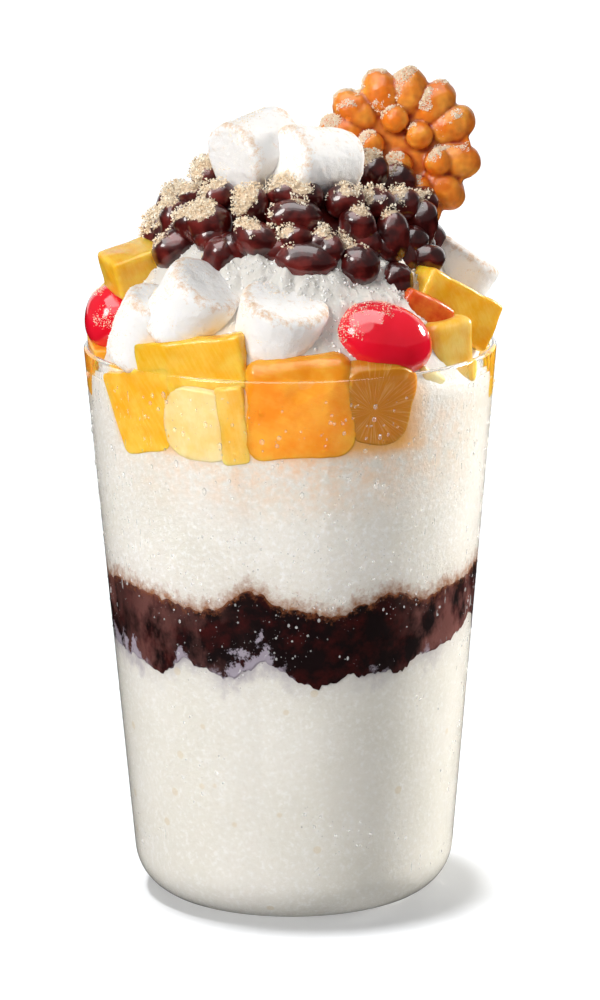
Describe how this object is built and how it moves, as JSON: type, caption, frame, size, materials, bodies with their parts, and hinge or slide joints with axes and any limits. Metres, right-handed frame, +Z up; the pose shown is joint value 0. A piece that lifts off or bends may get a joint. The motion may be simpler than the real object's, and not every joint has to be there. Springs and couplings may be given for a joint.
{
  "type": "bingsu in a dessert glass",
  "caption": "Layered shaved milk ice and sweet red bean dessert in a straight-sided glass, heaped with fruit, marshmallows, cherries, cooked beans and a round bubble waffle",
  "frame": {"origin": "centre of the glass's flat underside, where it stands", "axes": "+Z up along the glass's axis, -Y the front of the dessert, +X to the right seen from the front"},
  "size_m": [0.093, 0.092, 0.1852],
  "materials": {
    "glass": "clear thin drinking glass, cold and lightly misted",
    "milk_ice": "fine shaved frozen milk, moist and slightly translucent",
    "bean_paste": "near-black maroon sweet bean paste",
    "red_bean": "glossy cooked red beans in syrup",
    "waffle": "baked egg batter, golden orange to rust",
    "marshmallow": "soft dusted sugar foam",
    "cherry": "glossy candied cherry",
    "mango": "wet ripe mango flesh",
    "pale_mango": "wet paler fruit flesh",
    "peach": "wet deep orange fruit flesh",
    "jelly": "amber see-through jelly"
  },
  "bodies": {
    "root": {"dessert_glass": "glass", "lower_milk_ice": "milk_ice", "red_bean_paste": "bean_paste", "upper_milk_ice": "milk_ice", "bean_heap": "red_bean", "bubble_waffle": "waffle", "amber_jelly": "jelly", "marshmallow_top_left": "marshmallow", "marshmallow_top_right": "marshmallow", "marshmallow_front_far_left": "marshmallow", "marshmallow_front_left": "marshmallow", "marshmallow_front": "marshmallow", "marshmallow_right": "marshmallow", "marshmallow_back_left": "marshmallow", "marshmallow_back": "marshmallow", "cherry_right": "cherry", "cherry_left": "cherry", "cherry_back": "cherry", "mango_slab_right": "mango", "mango_cube_left": "mango", "mango_chunk_left": "mango", "mango_slab_front": "mango", "mango_chip_right": "mango", "mango_chunk_back_right": "mango", "mango_slab_back": "mango", "mango_cube_back_left": "mango", "mango_sliver_front": "pale_mango", "pale_mango_front": "pale_mango", "mango_wedge_right": "pale_mango", "pale_mango_right": "pale_mango", "pale_mango_back_left": "pale_mango", "orange_chunk_front": "peach", "mango_chunk_right": "peach", "mango_chip_left": "peach", "orange_chunk_back": "peach"}
  },
  "joints": []
}
